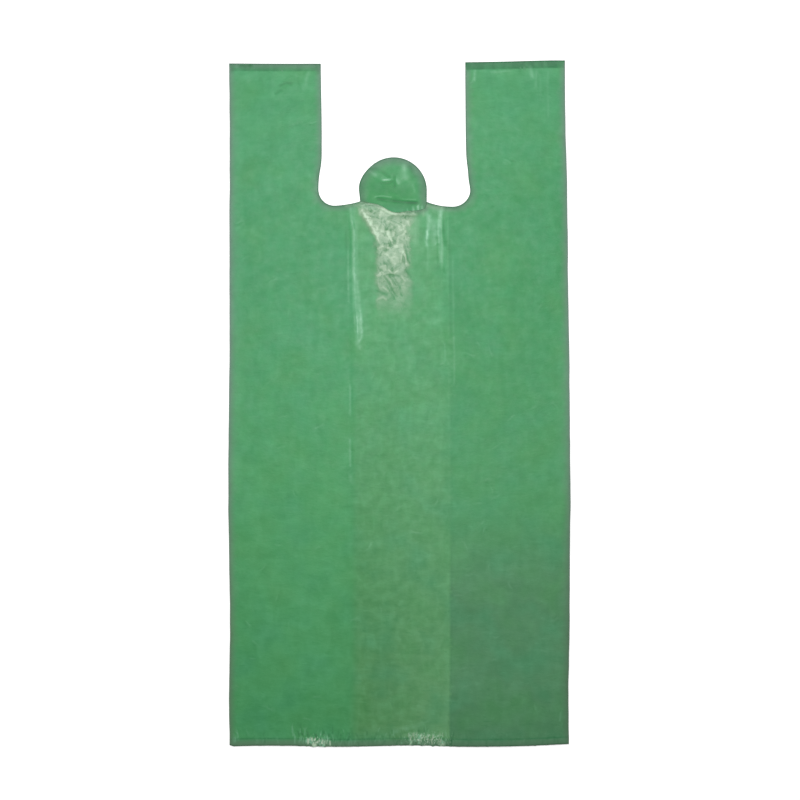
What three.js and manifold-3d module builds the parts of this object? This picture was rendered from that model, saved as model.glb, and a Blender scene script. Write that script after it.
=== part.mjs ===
// A plastic carrier bag lying flat: one length of blown film tube, gusseted at both sides, welded
// across the bottom and the handle tops, and punched to leave two loop handles and a hanging tab.
// Millimetres. +X across the bag, +Y towards the handles, +Z up. The origin is on the surface that
// the bag lies on, under the middle of its length and width.

import * as THREE from "three";
import { mergeVertices } from "three/addons/utils/BufferGeometryUtils.js";
import Module from "manifold-3d";

const wasm = await Module();
wasm.setup();

// Film and tube
const FILM = 0.05; // wall thickness
const WIDTH = 300; // across the folded tube
const LENGTH = 600; // from the bottom edge to the handle tops
const GUSSET_DEPTH = 105; // how far each side is folded in

// How the four layers lie on each other
const LAYER_PITCH = 0.7; // between neighbouring layers, where the film lies loose
const WELD_PITCH = 0.12; // between neighbouring layers, where they are pressed together
const PRESSED_REACH = 45; // how far from a weld the layers still close up
const SAG_WIDTH = 7; // how far past a gusset's inner fold the front panel comes down
const MIDDLE_LIFT = 1.1; // height of the front panel between the gussets, in pitches

// Welds, each a line across every layer with a short loose skirt outside it
const WELD_WIDTH = 2;
const BOTTOM_SKIRT = 5.3;
const HANDLE_SKIRT = 6.8;
const WELD_INSET = 0.2; // the weld stops this far short of the side folds

// The punched mouth, measured from the handle tops and from the punch's own centre line
const PUNCH_OFFSET = -3.5; // the die sits a little left of the bag's middle
const MOUTH_WIDTH = 129; // between the handles
const MOUTH_DEPTH = 126.5; // down to the lowest point of each corner
const CORNER_RADIUS = 15.5;
const CORNER_BULGE = 3.2; // how far a corner bites into its handle
const FLARE_LENGTH = 33; // over which the handle's edge runs out to that bulge
const LIP_RISE = 4.3; // from the corners' lowest point up to the foot of the tab

// The tab, which is left on the back panel only
const TAB_RADIUS = 29.3;
const TAB_CENTRE_DEPTH = 112.2; // below the handle tops
const TEAR_SAG = 9; // the front panel is torn this far below the foot of the tab

const BODY_PLACES = [-150, 0, 120, 170]; // places along the loose film where its section is drawn
const OPENING_SHARES = [0, 0.12, 0.25, 0.4, 0.55, 0.7, 0.85, 1]; // and over each pressed reach
const FOLD_STEPS = 4; // straight steps in each half-round fold
const SAG_STEPS = 4; // straight steps in the front panel's slope beside a gusset
const CURVE_STEPS = 10; // straight steps in each curve of the punch
const CUT_CLEARANCE = 5; // how far the punch reaches past the film
const MERGE_DISTANCE = 1e-4; // points closer than this are one
const FILM_GREEN = 0x5aa06e;

const TOP = LENGTH / 2;
const BOTTOM = -LENGTH / 2;
const BOTTOM_WELD = BOTTOM + BOTTOM_SKIRT + WELD_WIDTH / 2;
const HANDLE_WELD = TOP - HANDLE_SKIRT - WELD_WIDTH / 2;
const INNER_FOLD = WIDTH / 2 - GUSSET_DEPTH;

const { lerp, smoothstep } = THREE.MathUtils;

// The spacing of the layers at a place along the bag: least at the welds and in their skirts.
function pitchAt(y) {
  const fromWeld = Math.min(y - BOTTOM_WELD, HANDLE_WELD - y);
  return lerp(WELD_PITCH, LAYER_PITCH, smoothstep(fromWeld, 0, PRESSED_REACH));
}

// The height of the front panel: it lies on the gussets, and comes down between them.
function frontLift(x, pitch) {
  const past = smoothstep(INNER_FOLD - Math.abs(x), 0, SAG_WIDTH);
  return pitch * lerp(3, MIDDLE_LIFT, past);
}

// Points of a half-round fold in the section.
function fold(x, z, radius, fromDegrees, toDegrees) {
  const radians = THREE.MathUtils.degToRad;
  const clockwise = toDegrees < fromDegrees;
  const arc = new THREE.EllipseCurve(
    x, z, radius, radius, radians(fromDegrees), radians(toDegrees), clockwise,
  );
  return arc.getPoints(FOLD_STEPS);
}

// One loop of the tube's section at a place along the bag, anticlockwise as seen with +Z up and +X
// to the right. The side is 1 for the face of the film outside the bag and -1 for the one inside.
function sectionLoop(y, side) {
  const pitch = pitchAt(y);
  const half = (side * FILM) / 2;
  const outer = WIDTH / 2 - pitch / 2 - FILM / 2;
  const inner = INNER_FOLD + pitch / 2;
  const level = (layers) => layers * pitch + FILM / 2;
  const outerRadius = pitch / 2 + half;
  const innerRadius = pitch / 2 - half;

  const sagPlaces = [];
  for (let i = 0; i <= SAG_STEPS; i++) sagPlaces.push(INNER_FOLD - (SAG_WIDTH * i) / SAG_STEPS);
  const frontPlaces = [...sagPlaces, 0, ...sagPlaces.map((x) => -x).reverse()];

  return [
    new THREE.Vector2(-INNER_FOLD, level(0) - half),
    new THREE.Vector2(INNER_FOLD, level(0) - half),
    ...fold(outer, level(0.5), outerRadius, -90, 90),
    ...fold(inner, level(1.5), innerRadius, 270, 90),
    ...fold(outer, level(2.5), outerRadius, -90, 90),
    ...frontPlaces.map((x) => new THREE.Vector2(x, frontLift(x, pitch) + FILM / 2 + half)),
    ...fold(-outer, level(2.5), outerRadius, 90, 270),
    ...fold(-inner, level(1.5), innerRadius, 90, -90),
    ...fold(-outer, level(0.5), outerRadius, 90, 270),
  ];
}

// Where the section is drawn along the bag: close together where the layers open out from a weld.
function stations() {
  const opening = OPENING_SHARES.map((share) => share * PRESSED_REACH);
  return [
    BOTTOM,
    ...opening.map((distance) => BOTTOM_WELD + distance),
    ...BODY_PLACES,
    ...opening.map((distance) => HANDLE_WELD - distance).reverse(),
    TOP,
  ];
}

// The gusseted tube, open at both ends, as one closed skin around its film.
function tubeGeometry() {
  const places = stations();
  const loops = places.flatMap((y) => [
    sectionLoop(y, 1).map((p) => [p.x, y, p.y]),
    sectionLoop(y, -1).map((p) => [p.x, y, p.y]),
  ]);
  const count = loops[0].length;
  const triangles = [];
  const quad = (a, b, c, d) => triangles.push(a, b, c, a, c, d);
  // Joins two loops all round with a band of faces.
  const join = (from, to) => {
    for (let i = 0; i < count; i++) {
      const next = (i + 1) % count;
      quad(from * count + i, from * count + next, to * count + next, to * count + i);
    }
  };
  const last = places.length - 1;
  for (let s = 0; s < last; s++) {
    join(2 * s + 2, 2 * s);
    join(2 * s + 1, 2 * s + 3);
  }
  join(0, 1);
  join(2 * last + 1, 2 * last);

  const geometry = new THREE.BufferGeometry();
  geometry.setAttribute("position", new THREE.Float32BufferAttribute(loops.flat(2), 3));
  geometry.setIndex(triangles);
  return geometry;
}

// A weld line across every layer, from one x to another.
function weldGeometry(y, fromX, toX) {
  const height = 3 * WELD_PITCH + FILM;
  const bar = new THREE.BoxGeometry(toX - fromX, WELD_WIDTH, height);
  return bar.translate((fromX + toX) / 2, y, height / 2);
}

// The mouth's outline right of the punch's centre line, from the foot of the tab up to the top.
// It is drawn with the centre line at x = 0, so the left half is its mirror image.
function mouthEdge() {
  const half = MOUTH_WIDTH / 2;
  const lowest = TOP - MOUTH_DEPTH;
  const cornerX = half + CORNER_BULGE - CORNER_RADIUS;
  const cornerY = lowest + CORNER_RADIUS;
  const edge = new THREE.Path();
  edge.moveTo(TAB_RADIUS, lowest + LIP_RISE);
  edge.quadraticCurveTo((TAB_RADIUS + cornerX) / 2, lowest, cornerX, lowest);
  edge.absarc(cornerX, cornerY, CORNER_RADIUS, -Math.PI / 2, 0, false);
  const flareTop = cornerY + FLARE_LENGTH;
  const flareMiddle = cornerY + FLARE_LENGTH / 2;
  edge.bezierCurveTo(half + CORNER_BULGE, flareMiddle, half, flareMiddle, half, flareTop);
  edge.lineTo(half, TOP + CUT_CLEARANCE);
  return edge.getPoints(CURVE_STEPS);
}

// The tab's outline from its right foot over the top to its left foot: a round head on a straight neck.
function tabEdge() {
  const foot = TOP - MOUTH_DEPTH + LIP_RISE;
  const head = new THREE.EllipseCurve(0, TOP - TAB_CENTRE_DEPTH, TAB_RADIUS, TAB_RADIUS, 0, Math.PI);
  return [
    new THREE.Vector2(TAB_RADIUS, foot),
    ...head.getPoints(2 * CURVE_STEPS),
    new THREE.Vector2(-TAB_RADIUS, foot),
  ];
}

// The edge where the front panel is torn from its tab, from the left foot to the right one.
function tornEdge() {
  const foot = TOP - MOUTH_DEPTH + LIP_RISE;
  const tear = new THREE.QuadraticBezierCurve(
    new THREE.Vector2(-TAB_RADIUS, foot),
    new THREE.Vector2(0, foot - 2 * TEAR_SAG),
    new THREE.Vector2(TAB_RADIUS, foot),
  );
  return tear.getPoints(CURVE_STEPS);
}

// A block with the given outline and height, set on the punch's centre line.
function punchGeometry(outline, fromZ, toZ) {
  const block = new THREE.ExtrudeGeometry(new THREE.Shape(outline), {
    depth: toZ - fromZ,
    bevelEnabled: false,
  });
  return block.translate(PUNCH_OFFSET, 0, fromZ);
}

// What is cut from every layer: the mouth with the tab left standing in it.
function mouthPunch() {
  const right = mouthEdge();
  const left = right.map((p) => new THREE.Vector2(-p.x, p.y)).reverse();
  const outline = [...right, ...left.slice(0, -1), ...tabEdge().reverse().slice(0, -1)];
  return punchGeometry(outline, -CUT_CLEARANCE, 3 * LAYER_PITCH + CUT_CLEARANCE);
}

// What is cut from the front panel only: its half of the tab, down to the torn edge.
function tabPunch() {
  const outline = [...tornEdge(), ...tabEdge().slice(1, -1)];
  const aboveBackPanel = (MIDDLE_LIFT * LAYER_PITCH) / 2;
  return punchGeometry(outline, aboveBackPanel, 3 * LAYER_PITCH + CUT_CLEARANCE);
}

function toSolid(geometry) {
  const bare = geometry.clone();
  bare.deleteAttribute("normal");
  bare.deleteAttribute("uv");
  const merged = mergeVertices(bare, MERGE_DISTANCE);
  return new wasm.Manifold(
    new wasm.Mesh({
      numProp: 3,
      vertProperties: new Float32Array(merged.attributes.position.array),
      triVerts: new Uint32Array(merged.index.array),
    }),
  );
}

function toGeometry(solid) {
  const mesh = solid.getMesh();
  const geometry = new THREE.BufferGeometry();
  geometry.setAttribute("position", new THREE.BufferAttribute(mesh.vertProperties, 3));
  geometry.setIndex(new THREE.BufferAttribute(mesh.triVerts, 1));
  geometry.computeVertexNormals();
  return geometry;
}

// The bag as it is made: a tube, welded across both ends, then punched.
function carrierBag() {
  const side = WIDTH / 2 - WELD_INSET;
  const film = toSolid(tubeGeometry())
    .add(toSolid(weldGeometry(BOTTOM_WELD, -side, side)))
    .add(toSolid(weldGeometry(HANDLE_WELD, -side, side)))
    .subtract(toSolid(mouthPunch()))
    .subtract(toSolid(tabPunch()));
  const material = new THREE.MeshStandardMaterial({ color: FILM_GREEN, roughness: 0.4, metalness: 0 });
  const bag = new THREE.Mesh(toGeometry(film), material);
  bag.name = "carrier_bag";
  return bag;
}

const part = new THREE.Group();
part.add(carrierBag());

export default part;
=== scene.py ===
"""A green plastic carrier bag lying flat: a gusseted film tube with welded ends and a punched mouth.

Lengths are in millimetres until the mesh is made. x runs across the bag and y from its bottom to its
handles. Every layer is drawn flat, as it was folded, and then given its height and its creases.
"""

import math
import random
from typing import NamedTuple

import bmesh
import bpy
import numpy as np
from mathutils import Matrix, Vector, noise
from mathutils.geometry import delaunay_2d_cdt
from mathutils.kdtree import KDTree


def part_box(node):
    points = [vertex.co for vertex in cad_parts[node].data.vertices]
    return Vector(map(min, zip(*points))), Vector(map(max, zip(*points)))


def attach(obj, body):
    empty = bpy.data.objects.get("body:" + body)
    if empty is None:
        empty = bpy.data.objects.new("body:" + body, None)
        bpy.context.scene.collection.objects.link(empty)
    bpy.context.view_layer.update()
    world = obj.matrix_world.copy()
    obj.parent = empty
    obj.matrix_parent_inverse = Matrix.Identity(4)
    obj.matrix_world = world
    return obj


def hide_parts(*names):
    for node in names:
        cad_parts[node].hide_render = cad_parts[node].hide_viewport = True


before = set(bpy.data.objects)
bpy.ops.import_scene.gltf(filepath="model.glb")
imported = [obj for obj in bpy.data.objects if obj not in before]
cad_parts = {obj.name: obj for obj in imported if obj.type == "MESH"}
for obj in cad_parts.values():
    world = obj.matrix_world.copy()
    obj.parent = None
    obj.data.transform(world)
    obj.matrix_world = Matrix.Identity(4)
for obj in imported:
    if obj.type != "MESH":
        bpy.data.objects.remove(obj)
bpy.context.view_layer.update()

MM = 0.001
NODE = "carrier_bag"

# The folded tube
low_corner, high_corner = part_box(NODE)
HALF_WIDTH = high_corner.x / MM
TOP = high_corner.y / MM
BOTTOM = low_corner.y / MM
FILM = 0.05
GUSSET_DEPTH = 105
INNER_FOLD = HALF_WIDTH - GUSSET_DEPTH

# How the four layers lie on each other, and how many pitches up the front panel lies
LAYER_PITCH = 0.7
WELD_PITCH = 0.12
PRESSED_REACH = 45
SAG_WIDTH = 7
SIDE_LIFT = 3
MIDDLE_LIFT = 1.1

# Welds, and the skirts of film beyond them
WELD_WIDTH = 2
BOTTOM_SKIRT = 5.3
HANDLE_SKIRT = 6.8
BOTTOM_WELD = BOTTOM + BOTTOM_SKIRT + WELD_WIDTH / 2
HANDLE_WELD = TOP - HANDLE_SKIRT - WELD_WIDTH / 2

# The punched mouth and its tab, drawn about the punch's own centre line
PUNCH_OFFSET = -3.5
HALF_MOUTH = 64.5
LIP_LOW = TOP - 126.5
LIP_FOOT = LIP_LOW + 4.3
CORNER_RADIUS = 15.5
CORNER_BULGE = 3.2
FLARE_LENGTH = 33
TAB_RADIUS = 29.3
TAB_CENTRE = TOP - 112.2

# The front panel's torn edge over the tab: sideways from the punch's centre line, and below the foot
TORN_LIP = (
    (-29.3, 0), (-22, 0.9), (-13, 2.8), (-5, 7), (2, 9.4),
    (12, 8.2), (22, 7.4), (27.5, 5.2), (29.3, 0),
)

# Mesh spacing
OUTLINE_STEP = 2
FOLD_STEP = 6
FOLD_TURNS = 5
PLAIN_STEP = 4
HIDDEN_STEP = 10
END_STEP = 2
HIDDEN_END_STEP = 4
END_REACH = 12
FOLD_END = 16
CRUMPLE_STEP = 0.95
SPARK_STEP = 0.75
TAB_STEP = 1.7
CREASE_STEP = 1.5
CREASE_ROWS = (-1.7, -0.8, 0, 0.8, 1.7)
RIM_ROWS = (1.5, 3.6)
CLOSEST = 0.5
CLEARANCE = 0.55
ROW_SHARE = 0.866

# Steps of the curves
CURVE_STEPS = 16
CORNER_STEPS = 14
HEAD_STEPS = 56
SPLINE_STEPS = 5
EDGE_STEPS = 6


class Crease(NamedTuple):
    """A line where the film was bent: its points, half width and height, and the painted light that it puts
    on the film, which is painted shade where it is below zero.
    """

    line: list
    half_width: float
    rise: float
    # Painted light where it is above zero, and painted shade where it is below
    tone: float


def ease(value, start, end):
    """0 before start, 1 after end, and smooth between them."""
    share = np.clip((value - start) / (end - start), 0, 1)
    return share * share * (3 - 2 * share)


def mix(a, b, share):
    return a + (b - a) * share


def perlin(x, y, wavelength, seed, stretch=1):
    """Smooth noise from about -1 to 1, with features of the given length, longer along x by the stretch."""
    across = np.asarray(x, float) / (wavelength * stretch)
    along = np.asarray(y, float) / wavelength
    return np.array([noise.noise((a, b, seed)) for a, b in zip(across, along)])


def band(value, centre, reach):
    """1 at the centre, fading out over the reach on both sides of it."""
    return np.exp(-(((value - centre) / reach) ** 2))


def spot(x, y, centre, reach):
    """1 at the centre, fading out over the reaches across and along."""
    across = (x - centre[0]) / reach[0]
    along = (y - centre[1]) / reach[1]
    return np.exp(-(across**2) - along**2)


# Outlines of the layers

def bezier(controls, steps):
    """Points of the Bezier curve with these control points."""
    share = np.linspace(0, 1, steps + 1)[:, None]
    rows = [np.array(point, float)[None, :] for point in controls]
    while len(rows) > 1:
        rows = [mix(a, b, share) for a, b in zip(rows, rows[1:])]
    return rows[0]


def spline(points, steps):
    """Points of a smooth curve through the given ones."""
    knots = np.array(points, float)
    padded = np.vstack([2 * knots[0] - knots[1], knots, 2 * knots[-1] - knots[-2]])
    pieces = []
    for before, start, end, after in zip(padded, padded[1:], padded[2:], padded[3:]):
        handles = (start, start + (end - before) / 6, end - (after - start) / 6, end)
        pieces.append(bezier(handles, steps)[:-1])
    return np.vstack([*pieces, knots[-1:]])


def straight(start, end, step):
    """Points from start to end, no further apart than the step."""
    start, end = np.array(start, float), np.array(end, float)
    count = max(1, math.ceil(np.linalg.norm(end - start) / step))
    return mix(start, end, np.linspace(0, 1, count + 1)[:, None])


def arc(centre, radius, from_degrees, to_degrees, steps):
    angles = np.radians(np.linspace(from_degrees, to_degrees, steps + 1))
    return np.array(centre) + radius * np.column_stack([np.cos(angles), np.sin(angles)])


def chain(*runs):
    """The runs end to end, without the points that repeat where they meet."""
    points = np.vstack(runs)
    gaps = np.linalg.norm(np.diff(points, axis=0), axis=1)
    return points[np.concatenate([[True], gaps > 1e-6])]


def mouth_edge(side):
    """The mouth's edge from the foot of the tab out to the corner and up the handle, on side -1 or 1."""
    bulge = HALF_MOUTH + CORNER_BULGE
    corner_x, corner_y = bulge - CORNER_RADIUS, LIP_LOW + CORNER_RADIUS
    flare_middle, flare_top = corner_y + FLARE_LENGTH / 2, corner_y + FLARE_LENGTH
    lip = ((TAB_RADIUS, LIP_FOOT), ((TAB_RADIUS + corner_x) / 2, LIP_LOW), (corner_x, LIP_LOW))
    flare = ((bulge, corner_y), (bulge, flare_middle), (HALF_MOUTH, flare_middle), (HALF_MOUTH, flare_top))
    edge = chain(
        bezier(lip, CURVE_STEPS),
        arc((corner_x, corner_y), CORNER_RADIUS, -90, 0, CORNER_STEPS),
        bezier(flare, CURVE_STEPS),
        straight((HALF_MOUTH, flare_top), (HALF_MOUTH, TOP), 2 * OUTLINE_STEP),
    )
    return edge * (side, 1) + (PUNCH_OFFSET, 0)


def tab_edge():
    """The tab's edge on the back panel, from its right foot over its head to its left foot."""
    head = arc((0, TAB_CENTRE), TAB_RADIUS, 0, 180, HEAD_STEPS)
    right_foot = straight((TAB_RADIUS, LIP_FOOT), (TAB_RADIUS, TAB_CENTRE), OUTLINE_STEP)
    left_foot = right_foot[::-1] * (-1, 1)
    return chain(right_foot, head, left_foot) + (PUNCH_OFFSET, 0)


def torn_edge():
    """The front panel's edge across the tab, from the right foot to the left one."""
    points = [(x, LIP_FOOT - depth) for x, depth in reversed(TORN_LIP)]
    return spline(points, SPLINE_STEPS) + (PUNCH_OFFSET, 0)


def pitch_at(y):
    """The spacing of the layers, least at the welds and in their skirts."""
    from_weld = np.minimum(y - BOTTOM_WELD, HANDLE_WELD - y)
    return mix(WELD_PITCH, LAYER_PITCH, ease(from_weld, 0, PRESSED_REACH))


def outer_line(y):
    """Where the flat of a layer ends and an outer fold starts."""
    return HALF_WIDTH - pitch_at(y) / 2 - FILM / 2


def inner_line(y):
    """Where the flat of a gusset layer ends and its inner fold starts."""
    return INNER_FOLD + pitch_at(y) / 2


def fold_places(top):
    """Places along a fold from the bottom to the given top, closer together beside the welds."""
    places = chain(
        straight((0, BOTTOM), (0, BOTTOM + FOLD_END), OUTLINE_STEP),
        straight((0, BOTTOM + FOLD_END), (0, TOP - FOLD_END), FOLD_STEP),
        straight((0, TOP - FOLD_END), (0, TOP), OUTLINE_STEP),
    )[:, 1]
    return np.append(places[places < top - CLOSEST], top)


def outer_fold_line(side):
    places = fold_places(TOP)
    return np.column_stack([side * outer_line(places), places])


def panel_outline(across_tab):
    """Outline of the front or back panel, with the given edge across the tab's foot."""
    right, left = outer_fold_line(1), outer_fold_line(-1)
    right_mouth, left_mouth = mouth_edge(1), mouth_edge(-1)
    return chain(
        straight(left[0], right[0], OUTLINE_STEP),
        right,
        straight(right[-1], right_mouth[-1], OUTLINE_STEP),
        right_mouth[::-1],
        across_tab,
        left_mouth,
        straight(left_mouth[-1], left[-1], OUTLINE_STEP),
        left[::-1],
    )[:-1]


def gusset_cut(side):
    """The mouth's edge outside a gusset's inner fold, starting on the line of that fold."""
    edge = mouth_edge(side)
    reach = side * edge[:, 0]
    first = int(np.argmax(reach > inner_line(LIP_LOW)))
    share = (inner_line(LIP_LOW) - reach[first - 1]) / (reach[first] - reach[first - 1])
    return np.vstack([mix(edge[first - 1], edge[first], share), edge[first:]])


def inner_fold_line(side):
    places = fold_places(gusset_cut(side)[0, 1])
    return np.column_stack([side * inner_line(places), places])


def gusset_outline(side):
    """Outline of one layer of a gusset."""
    outer, inner, cut = outer_fold_line(side), inner_fold_line(side), gusset_cut(side)
    return chain(
        straight(inner[0], outer[0], 2 * OUTLINE_STEP),
        outer,
        straight(outer[-1], cut[-1], 2 * OUTLINE_STEP),
        cut[::-1],
        inner[::-1],
    )[:-1]


# Triangles of the layers

def inside(points, outline):
    """Which points are inside the outline."""
    x, y = points[:, 0], points[:, 1]
    result = np.zeros(len(points), bool)
    for (x0, y0), (x1, y1) in zip(outline, np.roll(outline, -1, axis=0)):
        if y0 == y1:
            continue
        crosses = (y0 > y) != (y1 > y)
        result ^= crosses & (x < (x1 - x0) * (y - y0) / (y1 - y0) + x0)
    return result


def distance_to(points, line, closed):
    """Distance of each point from a line of straight pieces."""
    starts = line if closed else line[:-1]
    ends = np.roll(line, -1, axis=0) if closed else line[1:]
    nearest = np.full(len(points), np.inf)
    for start, end in zip(starts, ends):
        along = end - start
        share = np.clip((points - start) @ along / max(along @ along, 1e-12), 0, 1)
        gap = points - start - share[:, None] * along
        nearest = np.minimum(nearest, np.hypot(gap[:, 0], gap[:, 1]))
    return nearest


def staggered(low, high, step):
    """Points in rows over a rectangle, each row half a step aside of the last."""
    rows = np.arange(low[1], high[1], step * ROW_SHARE)
    points = []
    for i, y in enumerate(rows):
        xs = np.arange(low[0] + (i % 2) * step / 2, high[0], step)
        points.append(np.column_stack([xs, np.full(len(xs), y)]))
    return np.vstack(points)


def smooth_line(crease):
    """The points of a crease's line, close enough together to look curved."""
    if len(crease.line) < 3:
        return np.array(crease.line, float)
    return spline(crease.line, SPLINE_STEPS)


def leftward(along):
    """Unit vectors to the left of the given directions."""
    return np.column_stack([-along[:, 1], along[:, 0]]) / np.linalg.norm(along, axis=1)[:, None]


def crease_points(creases):
    """Points along each crease and on both sides of it, which carry its shape in the mesh."""
    rows = []
    for crease in creases:
        line = smooth_line(crease)
        reach = np.concatenate([[0], np.cumsum(np.linalg.norm(np.diff(line, axis=0), axis=1))])
        stations = np.linspace(0, reach[-1], max(2, round(reach[-1] / CREASE_STEP) + 1))
        middle = np.column_stack([np.interp(stations, reach, line[:, i]) for i in (0, 1)])
        aside = leftward(np.gradient(middle, axis=0))
        rows += [middle + share * crease.half_width * aside for share in CREASE_ROWS]
    return np.vstack(rows)


def thinned(points):
    """The points without those that are crowded by others."""
    _, first = np.unique(np.round(points / CLOSEST).astype(int), axis=0, return_index=True)
    return points[np.sort(first)]


def inset_points(outline, inset):
    """A row of points at the given distance inside an outline."""
    row = outline + inset * leftward(np.roll(outline, -1, axis=0) - np.roll(outline, 1, axis=0))
    return row[distance_to(row, outline, True) > 0.9 * inset]


def away_from(points, others, gaps):
    """The points that are further from all of the others than their own gaps."""
    tree = KDTree(len(others))
    for i, (x, y) in enumerate(others):
        tree.insert((x, y, 0), i)
    tree.balance()
    clear = [tree.find((x, y, 0))[2] > gap for (x, y), gap in zip(points, gaps)]
    return points[np.array(clear)]


def graded_points(outline, step, zones, rows):
    """Points inside an outline: the given rows, a fine step in each zone, and the plain step elsewhere."""
    low, high = outline.min(axis=0), outline.max(axis=0)
    points = staggered(low, high, step)
    spacing = np.full(len(points), step)
    for zone_low, zone_high, zone_step in zones:
        margin = (step - zone_step) / 2
        past_low = points > np.array(zone_low) - margin
        before_high = points < np.array(zone_high) + margin
        in_zone = np.all(past_low & before_high, axis=1)
        finer = staggered(zone_low, zone_high, zone_step)
        points = np.vstack([points[~in_zone], finer])
        spacing = np.concatenate([spacing[~in_zone], np.full(len(finer), zone_step)])
    rows = thinned(np.vstack([*rows, *(inset_points(outline, inset) for inset in RIM_ROWS)]))
    points = np.vstack([rows, away_from(points, rows, CLEARANCE * spacing)])
    points = points[inside(points, outline)]
    return points[distance_to(points, outline, True) > CLOSEST]


def triangulate(outline, points):
    """Flat triangles over an outline and the points in it: their corners, and three numbers for each."""
    corners = [Vector(p) for p in np.vstack([outline, points])]
    ring = list(range(len(outline)))
    made = delaunay_2d_cdt(corners, [], [ring], 1, 1e-5)
    flat = np.array([tuple(v) for v in made[0]])
    return flat, np.array(made[2])


# Creases, first those that are listed one by one

def hand_placed(*rows):
    """Creases from rows of half width, height, painted light and shade, and points."""
    return tuple(Crease(line, half_width, rise, tone) for half_width, rise, tone, *line in rows)


# Creases of the crumple, whose marks whiten the film and paint glare on it
CRUMPLE_CREASES = hand_placed(
    (1.5, 0.5, 0.16, (-32.7, 173.8), (-25.6, 175.3), (-18.5, 175.6), (-12.3, 173.4), (-7, 169.8),
     (0, 167.2), (17, 166.8)),
    (1, 0.3, 0.45, (-20, 172.6), (-13.5, 171.2), (-8.5, 168.4), (-2, 166.2)),
    (0.8, 0.2, 0.3, (-27, 171.6), (-21.5, 170.6)),
    (2.2, 0.2, 0.06, (1, 167.4), (11, 167.6), (19, 169.4)),
    (4, 0, 0.13, (15, 164), (14.5, 146)),
    (1.6, 0.2, 0.24, (26, 174.4), (33, 172.9), (39, 172.4)),
    (1.3, 0.15, 0.2, (22.5, 173), (23, 166)),
    (1.5, 0.2, 0.22, (-46, 173.2), (-40, 173.8), (-34.5, 174.6)),
    (1.2, 0.15, 0.2, (-35, 172), (-34, 166)),
    (6.5, 0.05, 0.1, (3, 108), (1, 86)),
    (3.4, 0.4, 0.36, (-31.7, 170), (-27.5, 163.5), (-22, 157), (-16, 151.5), (-8, 147)),
    (1.6, 0.3, 0.3, (-30.5, 167), (-25.5, 159.5), (-20.5, 150.5), (-17.5, 143.5)),
    (1.5, 0.15, 0.15, (10, 161), (10.8, 153), (10.4, 146.5)),
    (1.2, 0.15, 0.25, (8, 164), (9.5, 158)),
    (0.9, 0.25, 0.35, (-17.9, 136.8), (-13.4, 138.2), (-9, 137.3)),
    (0.9, 0.3, 0.4, (2.5, 124.1), (2.9, 130.2), (4.7, 133.8), (6.5, 130.2), (6.9, 123.2)),
    (0.9, 0.25, 0.5, (-8.2, 117.9), (-4.7, 114.8), (-1.1, 117)),
    (0.9, 0.25, 0.45, (3.3, 111.8), (5.9, 108.2)),
    (3.2, 0.1, 0.25, (-5.4, 136.4), (-2, 126.7)),
    (2, 0.2, 0.3, (0, 157.5), (5.3, 150.5)),
    (1.8, 0.2, 0.3, (-9.7, 162.8), (-4.4, 156.6)),
    (1.2, 0.2, 0.35, (-19, 91.5), (-14.6, 93.7), (-11, 92)),
    (1, 0.2, 0.3, (-13.6, 103), (-9.2, 99.4)),
    (1.1, -0.2, -0.2, (-32.7, 171.9), (-26.5, 170.7), (-21.2, 168.1), (-17.7, 164.6), (-9.7, 163.4),
     (16.1, 164.1)),
    (0.7, -0.2, -0.4, (-11.5, 160.2), (-9.8, 154.9), (-11.6, 147.8)),
    (0.8, -0.2, -0.45, (-6.2, 153.1), (-5.4, 147), (-1.8, 142.6)),
    (0.7, -0.15, -0.35, (1.8, 161), (4.5, 154.9)),
    (0.7, -0.2, -0.45, (-16.1, 130.7), (-13.4, 134.6), (-9, 135.7)),
    (0.6, -0.2, -0.1, (4.8, 130.2), (4.4, 125)),
    (0.6, -0.25, -0.34, (-12.7, 112.6), (-9.2, 107.4), (-5.7, 100.3), (-1.3, 94.2)),
    (0.6, -0.25, -0.36, (-7.4, 112.6), (-3, 106.5), (3.1, 95)),
    (1, -0.2, -0.4, (-10.9, 114), (0.6, 112.2)),
    (0.8, -0.2, -0.4, (6.1, 139.9), (7.8, 131.1), (10, 124.1)),
    (0.8, -0.2, -0.35, (7.7, 117), (11.2, 111.8)),
    (0.6, -0.2, -0.3, (-10, 104), (-6, 97), (-3.5, 92)),
    (0.6, -0.2, -0.3, (-4.5, 112), (0.2, 104.5), (2.2, 100.5)),
    (0.7, 0.2, 0.3, (-8.8, 111), (-5.2, 105)),
    (0.8, 0.2, 0.25, (-1.6, 104), (1.4, 98)),
    (0.7, -0.2, -0.3, (-9, 126), (-5.5, 121), (-4.8, 117)),
    (0.7, -0.2, -0.28, (-13, 150), (-8, 145), (-6.5, 139)),
    (0.7, -0.2, -0.28, (3.8, 147), (7.5, 143), (8.6, 138)),
    (0.9, -0.15, -0.3, (-19.9, 99.4), (-10.1, 95.9)),
)
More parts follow.
